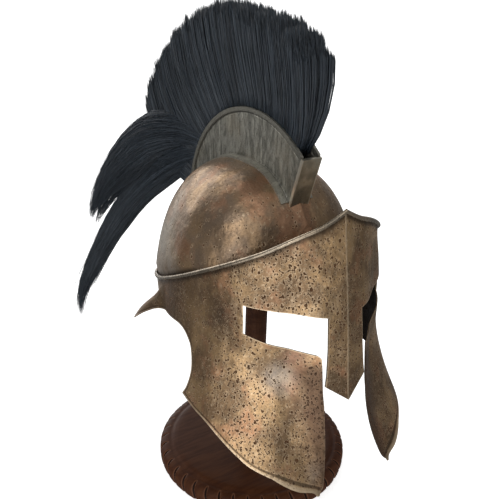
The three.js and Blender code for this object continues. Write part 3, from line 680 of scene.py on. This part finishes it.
# Materials
class Look:
    def __init__(self, name):
        self.material = bpy.data.materials.new(name)
        self.material.use_nodes = True
        self.tree = self.material.node_tree
        self.shader = self.tree.nodes["Principled BSDF"]
        self.place = self.add("ShaderNodeTexCoord").outputs["Object"]

    def add(self, kind):
        return self.tree.nodes.new(kind)

    def feed(self, socket, value):
        if isinstance(value, (int, float)):
            socket.default_value = value
        elif isinstance(value, tuple):
            socket.default_value = (*value, 1) if socket.type == "RGBA" else value
        else:
            self.tree.links.new(value, socket)

    def set(self, **values):
        for name, value in values.items():
            self.feed(self.shader.inputs[name.replace("_", " ")], value)

    def mapped(self, scale, turn=(0, 0, 0)):
        node = self.add("ShaderNodeMapping")
        node.inputs["Scale"].default_value = scale
        node.inputs["Rotation"].default_value = turn
        self.feed(node.inputs["Vector"], self.place)
        return node.outputs[0]

    def noise_node(self, scale, detail=4.0, roughness=0.5, vector=None, distortion=0.0):
        node = self.add("ShaderNodeTexNoise")
        node.inputs["Scale"].default_value = scale
        node.inputs["Detail"].default_value = detail
        node.inputs["Roughness"].default_value = roughness
        node.inputs["Distortion"].default_value = distortion
        self.feed(node.inputs["Vector"], vector or self.place)
        return node

    def noise(self, *values, **named):
        return self.noise_node(*values, **named).outputs["Fac"]

    def warped(self, scale, reach, vector):
        node = self.add("ShaderNodeVectorMath")
        node.operation = "MULTIPLY_ADD"
        self.feed(node.inputs[0], self.noise_node(scale, 2, vector=vector).outputs["Color"])
        node.inputs[1].default_value = (reach, reach, reach)
        self.feed(node.inputs[2], vector)
        return node.outputs[0]

    def ramp(self, value, low, high, start=0.0, end=1.0):
        node = self.add("ShaderNodeMapRange")
        node.interpolation_type = "SMOOTHSTEP"
        node.inputs["From Min"].default_value = low
        node.inputs["From Max"].default_value = high
        node.inputs["To Min"].default_value = start
        node.inputs["To Max"].default_value = end
        self.feed(node.inputs["Value"], value)
        return node.outputs["Result"]

    def maths(self, operation, a, b=0):
        node = self.add("ShaderNodeMath")
        node.operation = operation
        self.feed(node.inputs[0], a)
        self.feed(node.inputs[1], b)
        return node.outputs[0]

    def mix(self, factor, a, b):
        node = self.add("ShaderNodeMix")
        node.data_type = "RGBA"
        sockets = [s for s in node.inputs if s.type == "RGBA"]
        self.feed(node.inputs[0], factor)
        self.feed(sockets[0], a)
        self.feed(sockets[1], b)
        return [s for s in node.outputs if s.type == "RGBA"][0]

    def attribute(self, name):
        node = self.add("ShaderNodeAttribute")
        node.attribute_name = name
        return node.outputs["Fac"]

    def axis(self, index):
        node = self.add("ShaderNodeSeparateXYZ")
        self.feed(node.inputs[0], self.place)
        return node.outputs[index]

    def distance(self, centre):
        node = self.add("ShaderNodeVectorMath")
        node.operation = "DISTANCE"
        self.feed(node.inputs[0], self.place)
        node.inputs[1].default_value = tuple(c * MM for c in centre)
        return node.outputs["Value"]

    def bump(self, height, strength, distance, before=None):
        node = self.add("ShaderNodeBump")
        node.inputs["Strength"].default_value = strength
        node.inputs["Distance"].default_value = distance
        self.feed(node.inputs["Height"], height)
        if before:
            self.feed(node.inputs["Normal"], before)
        return node.outputs[0]


# Pits: a round hollow in some cells, its size random; kept is the share of cells that have one
def pits(look, scale, smallest, largest, kept):
    vector = look.warped(420, 0.0026, look.mapped((1, 1, 0.8), (0.5, 0.3, 0)))
    cell = look.add("ShaderNodeTexVoronoi")
    cell.inputs["Scale"].default_value = scale
    look.feed(cell.inputs["Vector"], vector)
    split = look.add("ShaderNodeSeparateColor")
    look.feed(split.inputs[0], cell.outputs["Color"])
    there = look.maths("GREATER_THAN", kept, split.outputs[0])
    radius = look.ramp(split.outputs[1], 0, 1, smallest, largest)
    depth = look.maths("DIVIDE", cell.outputs["Distance"], radius)
    hole = look.maths("MULTIPLY", look.ramp(depth, 1.0, 0.7), there)
    # Painted highlight: a bright ring just outside each pit
    lip_highlight = look.maths("MULTIPLY", look.ramp(depth, 1.7, 1.2), look.ramp(depth, 0.85, 1.1))
    return hole, look.maths("MULTIPLY", lip_highlight, there)


# Aged bronze: patches of gold, copper and brown, stains, upright brush marks, pits with a painted highlight
# on their rims, and a painted shade by the band; a sheet also has a bright cut edge, partly wear and partly
# painted highlight, with a dark line beside it, a painted highlight along its ridge, a painted sheen on its
# neck guard and a painted shade on its inside
def bronze(name, gold, copper, brown, pit_share, brush_share, stains_and_light, sheet):
    look = Look(name)
    dark = (0.05, 0.034, 0.022)
    bright = (0.72, 0.56, 0.38)
    patch = look.noise(26, 5, 0.6, distortion=0.5)
    rosy = look.noise(34, 4, 0.55, look.mapped((1, 1, 0.8), (1, 2, 0)))
    fine = look.noise(520, 4, 0.65)
    brushed = look.noise(110, 5, 0.62, look.mapped((1, 1, 0.22), (0.25, 0.12, 0)))
    colour = look.mix(look.ramp(patch, 0.4, 0.62), brown, gold)
    colour = look.mix(look.ramp(rosy, 0.52, 0.66, 0, 0.75), colour, copper)
    colour = look.mix(look.ramp(look.noise(15, 3, 0.5), 0.58, 0.4, 0, 0.35), colour, dark)
    colour = look.mix(look.ramp(brushed, 0.46, 0.7, 0, 0.25 * brush_share), colour, dark)
    colour = look.mix(look.ramp(brushed, 0.48, 0.3, 0, 0.2 * brush_share), colour, bright)
    colour = look.mix(look.ramp(fine, 0.5, 0.72, 0, 0.4), colour, dark)
    for centre, reach, tint, strength in stains_and_light:
        gone = look.maths("ADD", look.distance(centre), look.maths("MULTIPLY", look.noise(30, 3), reach * MM))
        colour = look.mix(look.ramp(gone, 1.5 * reach * MM, 0.6 * reach * MM, 0, strength), colour, tint)
    where = look.noise(19, 3, 0.6, look.mapped((1, 1, 1), (0, 1, 2)))
    density = look.ramp(where, 0.36, 0.58, 0.3 * pit_share, pit_share)
    hole, lip_highlight = pits(look, 190, 0.11, 0.27, density)
    for scale, smallest, largest in ((300, 0.15, 0.34), (430, 0.18, 0.38)):
        more, more_lip_highlight = pits(look, scale, smallest, largest, density)
        hole = look.maths("MAXIMUM", hole, more)
        lip_highlight = look.maths("MAXIMUM", lip_highlight, more_lip_highlight)
    # Painted highlight on the pits' rims
    colour = look.mix(look.maths("MULTIPLY", lip_highlight, 0.3), colour, bright)
    colour = look.mix(look.maths("MULTIPLY", hole, 0.88), colour, (0.10, 0.045, 0.02))
    # Painted shade: darker within 9 mm of the band's middle, on the sheet below it and on the skull behind it
    gap = look.attribute("band_gap")
    colour = look.mix(look.ramp(gap, 9, 3, 0, 0.85), colour, dark)
    rough = look.ramp(patch, 0.35, 0.65, 0.42, 0.30)
    rough = look.maths("ADD", rough, look.ramp(fine, 0.4, 0.7, 0, 0.12))
    height = look.bump(look.noise(55, 3, 0.5), 0.5, 0.004)
    if sheet:
        rim = look.attribute("rim_gap")
        line = look.maths("MULTIPLY", look.ramp(rim, 3.3, 2.7), look.ramp(rim, 1.5, 2.0))
        colour = look.mix(look.maths("MULTIPLY", line, 0.7), colour, dark)
        # Bright cut edges along the rim and the openings, partly wear and partly painted highlight
        colour = look.mix(look.ramp(rim, 1.7, 1.2, 0, 0.55), colour, bright)
        colour = look.mix(look.ramp(look.attribute("edge_gap"), 1.0, 0.4, 0, 0.7), colour, bright)
        colour = look.mix(look.ramp(look.axis(1), -0.05, 0.02, 0, 0.5), colour, (0.11, 0.07, 0.042))
        across = look.maths("ABSOLUTE", look.axis(0))
        by_mouth = look.maths("MULTIPLY", look.ramp(across, 0.058, 0.034), look.ramp(across, 0.023, 0.026))
        by_mouth = look.maths("MULTIPLY", by_mouth, look.ramp(look.axis(2), 0.215, 0.195))
        colour = look.mix(look.maths("MULTIPLY", by_mouth, 0.85), colour, (0.10, 0.058, 0.038))
        # Painted sheen: lighter grey-brown towards the back, on the neck guard
        colour = look.mix(look.ramp(look.axis(1), 0.07, 0.115, 0, 0.45), colour, (0.40, 0.34, 0.28))
        # Painted shade: the inside of the sheet is near black
        colour = look.mix(look.attribute("inner"), colour, (0.02, 0.014, 0.01))
        rough = look.maths("ADD", rough, look.maths("MULTIPLY", look.attribute("inner"), 0.4))
        height = look.bump(line, 0.35, -0.0005, height)
        # Painted highlight: a bright line along the nasal ridge
        ridge_highlight = look.ramp(across, 0.0016, 0.0004)
        ridge_highlight = look.maths("MULTIPLY", ridge_highlight, look.ramp(look.axis(1), -0.08, -0.1))
        colour = look.mix(look.maths("MULTIPLY", ridge_highlight, 0.5), colour, bright)
    height = look.bump(brushed, 0.25 * brush_share, 0.0009, height)
    height = look.bump(fine, 0.35, 0.0006, height)
    height = look.bump(hole, 1.0, -0.0011, height)
    rough = look.maths("ADD", rough, look.maths("MULTIPLY", hole, 0.3))
    look.set(Base_Color=colour, Roughness=rough, Normal=height, Metallic=0.92)
    return look.material


# The band: the same metal, greyer, in patches with fine dark flecks
def band_look():
    look = Look("bronze_band_worn")
    patch = look.noise(45, 4, 0.6)
    fine = look.noise(420, 4, 0.65)
    colour = look.mix(look.ramp(patch, 0.4, 0.62), (0.28, 0.235, 0.18), (0.45, 0.365, 0.27))
    colour = look.mix(look.ramp(fine, 0.48, 0.7, 0, 0.6), colour, (0.07, 0.055, 0.04))
    look.set(Base_Color=colour, Roughness=look.ramp(patch, 0.3, 0.7, 0.3, 0.22), Metallic=0.95,
             Normal=look.bump(fine, 0.4, 0.0006, look.bump(patch, 0.4, 0.002)))
    return look.material


# The crest holder: chiselled walls between a plain raised rim and a plain flange at the foot
def pewter_look():
    look = Look("pewter_chiselled")
    streak = look.noise(150, 4, 0.6, look.mapped((1, 1.5, 0.42), (0.25, 0, 0)))
    wide = look.noise(70, 3, 0.5, look.mapped((1, 1.6, 0.45), (0.25, 0, 0)))
    fine = look.noise(520, 4, 0.6)
    back = look.maths("SUBTRACT", look.axis(1), HOLDER_CENTRE[0] * MM)
    up = look.maths("SUBTRACT", look.axis(2), HOLDER_CENTRE[1] * MM)
    squares = look.maths("ADD", look.maths("POWER", back, 2), look.maths("POWER", up, 2))
    radius = look.maths("SQRT", squares)
    across = look.maths("ABSOLUTE", look.axis(0))
    edge = HOLDER_RADIUS * MM
    rim = look.ramp(radius, edge - 0.0052, edge - 0.0042)
    groove = look.maths("MULTIPLY", look.ramp(radius, edge - 0.0068, edge - 0.0052),
                        look.ramp(radius, edge - 0.0036, edge - 0.005))
    flange = look.ramp(across, (HOLDER_HALF_WIDTH + 0.9) * MM, (HOLDER_HALF_WIDTH + 1.6) * MM)
    near_wall = look.ramp(across, (HOLDER_HALF_WIDTH + 3.2) * MM, (HOLDER_HALF_WIDTH + 1.2) * MM)
    corner = look.maths("MULTIPLY", near_wall, flange)
    plain = look.maths("MAXIMUM", rim, flange)
    chiselled = look.maths("SUBTRACT", 1.0, plain)
    colour = look.mix(look.ramp(streak, 0.38, 0.64), (0.17, 0.165, 0.14), (0.42, 0.405, 0.35))
    colour = look.mix(look.ramp(look.noise(24, 3), 0.45, 0.65, 0, 0.45), colour, (0.34, 0.30, 0.23))
    colour = look.mix(look.maths("MULTIPLY", plain, 0.8), colour, (0.36, 0.345, 0.295))
    colour = look.mix(look.ramp(fine, 0.48, 0.7, 0, 0.5), colour, (0.05, 0.048, 0.04))
    shadow = look.maths("MAXIMUM", groove, corner)
    colour = look.mix(look.maths("MULTIPLY", shadow, 0.75), colour, (0.03, 0.029, 0.025))
    colour = look.mix(look.ramp(look.axis(1), -0.04, -0.075, 0, 0.4), colour, (0.10, 0.098, 0.08))
    deep = look.maths("MULTIPLY", streak, chiselled)
    height = look.bump(deep, 0.8, 0.0018, look.bump(wide, 0.6, 0.003))
    height = look.bump(groove, 0.8, -0.0008, height)
    look.set(Base_Color=colour, Roughness=look.ramp(streak, 0.35, 0.7, 0.48, 0.32), Metallic=0.85,
             Normal=look.bump(fine, 0.3, 0.0005, height))
    return look.material


# The plate at the holder's front: smooth, with worn edges brightened as a painted highlight
def plate_look():
    look = Look("pewter_smooth")
    patch = look.noise(60, 4, 0.6)
    fine = look.noise(480, 4, 0.6)
    colour = look.mix(look.ramp(patch, 0.4, 0.62), (0.20, 0.185, 0.145), (0.34, 0.315, 0.25))
    colour = look.mix(look.ramp(fine, 0.5, 0.72, 0, 0.4), colour, (0.06, 0.055, 0.045))
    # Side edges brighter, partly wear and partly painted highlight
    worn_edge_highlight = look.ramp(look.maths("ABSOLUTE", look.axis(0)), 0.0096, 0.0106)
    colour = look.mix(look.maths("MULTIPLY", worn_edge_highlight, 0.7), colour, (0.62, 0.58, 0.49))
    look.set(Base_Color=colour, Roughness=look.ramp(patch, 0.3, 0.7, 0.42, 0.3), Metallic=0.88,
             Normal=look.bump(fine, 0.3, 0.0005, look.bump(patch, 0.4, 0.002)))
    return look.material


def hair_look():
    look = Look("horsehair_black")
    colour = look.mix(look.attribute("tone"), (0.009, 0.012, 0.016), (0.032, 0.043, 0.056))
    colour = look.mix(look.ramp(look.noise(60, 3), 0.45, 0.65, 0, 0.4), colour, (0.022, 0.028, 0.037))
    look.set(Base_Color=colour, Roughness=look.ramp(look.noise(120, 3), 0.3, 0.7, 0.36, 0.5),
             Normal=look.bump(look.noise(900, 2), 0.2, 0.0002))
    return look.material


def wood_look(name, carved):
    look = Look(name)
    grain = look.noise(20, 6, 0.6, look.mapped((1, 7, 7)), 0.8)
    colour = look.mix(look.ramp(grain, 0.35, 0.68), (0.038, 0.013, 0.006), (0.062, 0.023, 0.010))
    colour = look.mix(look.ramp(look.noise(9, 3), 0.4, 0.7, 0, 0.5), colour, (0.045, 0.015, 0.007))
    if carved:
        # Rope cuts: a painted highlight on their rims and a painted shade deep inside them
        cut = look.attribute("cut")
        colour = look.mix(look.ramp(cut, 0.05, 0.25), colour, (0.10, 0.042, 0.022))
        colour = look.mix(look.ramp(cut, 0.3, 0.6), colour, (0.012, 0.005, 0.003))
    look.set(Base_Color=colour, Roughness=look.ramp(grain, 0.3, 0.7, 0.45, 0.32),
             Normal=look.bump(grain, 0.2, 0.0005), Specular_IOR_Level=0.06)
    return look.material


def dress(piece, material):
    piece.data.materials.clear()
    piece.data.materials.append(material)


def dress_node(node, material):
    for slot in bpy.data.objects[node].material_slots:
        slot.material = material


# Stains and worn places, with a painted glint, a painted sheen and a painted shade among them: middle, reach,
# colour, strength
FACE_STAINS_AND_LIGHT = [
    ((-90, -72, 243), 26, (0.08, 0.055, 0.04), 0.8),
    ((-55, -115, 185), 26, (0.42, 0.40, 0.38), 0.55),
    ((-45, -125, 210), 18, (0.40, 0.22, 0.16), 0.5),
    # Painted highlight: a silver glint near the cheek's tip
    ((-42, -150, 98), 20, (0.80, 0.76, 0.70), 0.7),
    ((-100, 0, 250), 62, (0.15, 0.09, 0.05), 0.7),
]
SKULL_STAINS_AND_LIGHT = [
    # Painted sheen: a pale patch on the skull's left side
    ((-88, 45, 275), 62, (0.66, 0.61, 0.53), 0.55),
    # Painted shade in the trough behind the brow, at the front
    ((-35, -98, 320), 34, (0.09, 0.065, 0.045), 0.7),
    ((-92, -20, 240), 30, (0.16, 0.12, 0.09), 0.55),
]
FACE_TINTS = ((0.53, 0.345, 0.18), (0.50, 0.265, 0.145), (0.25, 0.16, 0.09))
SKULL_TINTS = ((0.36, 0.24, 0.14), (0.37, 0.20, 0.115), (0.25, 0.18, 0.125))
bronze_face = bronze("bronze_face_pitted", *FACE_TINTS, 0.95, 1.0, FACE_STAINS_AND_LIGHT, True)
bronze_skull = bronze("bronze_skull_brown", *SKULL_TINTS, 0.14, 0.2, SKULL_STAINS_AND_LIGHT, False)
hair = hair_look()
wood = wood_look("mahogany_polished", False)

dress(make_face_shell(), bronze_face)
dress(make_brow_band(), band_look())
dress(make_skull(), bronze_skull)
dress(make_base(), wood_look("mahogany_carved", True))
dress(make_fan("hair_fan_a", FAN_COUNT, 11), hair)
dress(make_fan("hair_fan_b", FAN_COUNT, 21), hair)
dress(make_lock("hair_long", LONG_LOCK, LOCK_COUNT, 31, 12, 8), hair)
dress(make_lock("hair_short", SHORT_LOCK, LOCK_COUNT, 41, 11, 9), hair)
make_hair_core()
dress_node("crest_holder", pewter_look())
dress_node("crest_front_plate", plate_look())
dress_node("stand_post", wood)
dress_node("stand_head", wood)


# Floor, light and camera
def make_floor():
    mesh = bpy.data.meshes.new("floor")
    size = 40
    corners = [(-size, -size, 0), (size, -size, 0), (size, size, 0), (-size, size, 0)]
    mesh.from_pydata(corners, [], [(0, 1, 2, 3)])
    floor = bpy.data.objects.new("floor", mesh)
    bpy.context.collection.objects.link(floor)
    look = Look("floor_white")
    look.set(Base_Color=look.mix(look.noise(3, 2), (0.93, 0.93, 0.93), (0.96, 0.96, 0.96)), Roughness=0.9,
             Specular_IOR_Level=0.0, Emission_Color=(1, 1, 1), Emission_Strength=0.55)
    floor.data.materials.append(look.material)
    floor.visible_glossy = False


def area_light(name, place, target, size, power):
    data = bpy.data.lights.new(name, "AREA")
    data.shape = "RECTANGLE"
    data.size, data.size_y = size
    data.energy = power
    light = bpy.data.objects.new(name, data)
    light.location = place
    light.rotation_mode = "QUATERNION"
    light.rotation_quaternion = (Vector(target) - Vector(place)).to_track_quat("-Z", "Y")
    bpy.context.collection.objects.link(light)


# Soft boxes far off, as bright places of the sky: direction, where they start and are full, power of
# the fall-off, strength
SOFT_BOXES = [
    ((-0.75, -0.62, -0.15), 0.6, 1.0, 1.5, 1.95),
    ((-0.12, -0.9, -0.4), 0.86, 0.96, 1.0, 0.7),
    ((-0.8, -0.35, 0.5), 0.8, 1.0, 1.0, 0.3),
    ((-0.35, -0.55, 0.75), 0.9, 1.0, 1.0, 1.0),
    ((0.3, -0.5, 0.8), 0.75, 1.0, 1.0, 0.4),
    ((0.1, 0.85, 0.5), 0.72, 1.0, 1.0, 2.7),
    ((0.15, 0.97, -0.15), 0.85, 1.0, 1.0, 0.5),
    ((0.75, 0.6, 0.1), 0.9, 1.0, 1.0, 0.45),
]
DIM = 0.17


# The sky is white to look at and for matt surfaces; gloss sees a dim room with soft boxes
def make_world():
    world = bpy.data.worlds.new("studio")
    world.use_nodes = True
    world.cycles.sampling_method = "NONE"
    tree = world.node_tree
    add, link = tree.nodes.new, tree.links.new
    background = tree.nodes["Background"]
    place = add("ShaderNodeTexCoord").outputs["Generated"]
    total = None
    for direction, low, high, power, strength in SOFT_BOXES:
        dot = add("ShaderNodeVectorMath")
        dot.operation = "DOT_PRODUCT"
        link(place, dot.inputs[0])
        dot.inputs[1].default_value = Vector(direction).normalized()
        share = add("ShaderNodeMapRange")
        share.inputs["From Min"].default_value = low
        share.inputs["From Max"].default_value = high
        link(dot.outputs["Value"], share.inputs["Value"])
        bent = add("ShaderNodeMath")
        bent.operation = "POWER"
        link(share.outputs["Result"], bent.inputs[0])
        bent.inputs[1].default_value = power
        sum_up = add("ShaderNodeMath")
        sum_up.operation = "MULTIPLY_ADD"
        link(bent.outputs[0], sum_up.inputs[0])
        sum_up.inputs[1].default_value = strength
        if total:
            link(total, sum_up.inputs[2])
        else:
            sum_up.inputs[2].default_value = DIM
        total = sum_up.outputs[0]
    rays = add("ShaderNodeLightPath")
    choose = add("ShaderNodeMix")
    link(rays.outputs["Is Glossy Ray"], choose.inputs["Factor"])
    choose.inputs["A"].default_value = 1
    link(total, choose.inputs["B"])
    background.inputs["Color"].default_value = (1, 1, 1, 1)
    link(choose.outputs["Result"], background.inputs["Strength"])
    bpy.context.scene.world = world


def make_camera():
    azimuth, elevation, roll = map(math.radians, CAMERA_ANGLES)
    back = Vector((-math.sin(azimuth) * math.cos(elevation), -math.cos(azimuth) * math.cos(elevation),
                   math.sin(elevation)))
    right = (-back).cross(Vector((0, 0, 1))).normalized()
    up = right.cross(-back)
    turned_right = right * math.cos(roll) + up * math.sin(roll)
    turned_up = -right * math.sin(roll) + up * math.cos(roll)
    data = bpy.data.cameras.new("camera")
    data.sensor_width = CAMERA_SENSOR
    data.lens = CAMERA_LENS
    camera = bpy.data.objects.new("camera", data)
    place = Vector(CAMERA_TARGET) + back * CAMERA_DISTANCE
    turn = Matrix((turned_right, turned_up, back)).transposed().to_4x4()
    camera.matrix_world = Matrix.Translation(place) @ turn
    bpy.context.collection.objects.link(camera)
    bpy.context.scene.camera = camera


make_floor()
make_world()
area_light("key", (-1.0, -0.5, 1.1), (0, 0, 0.25), (0.25, 0.25), 2.5)
make_camera()
bpy.context.scene.view_settings.view_transform = "Standard"
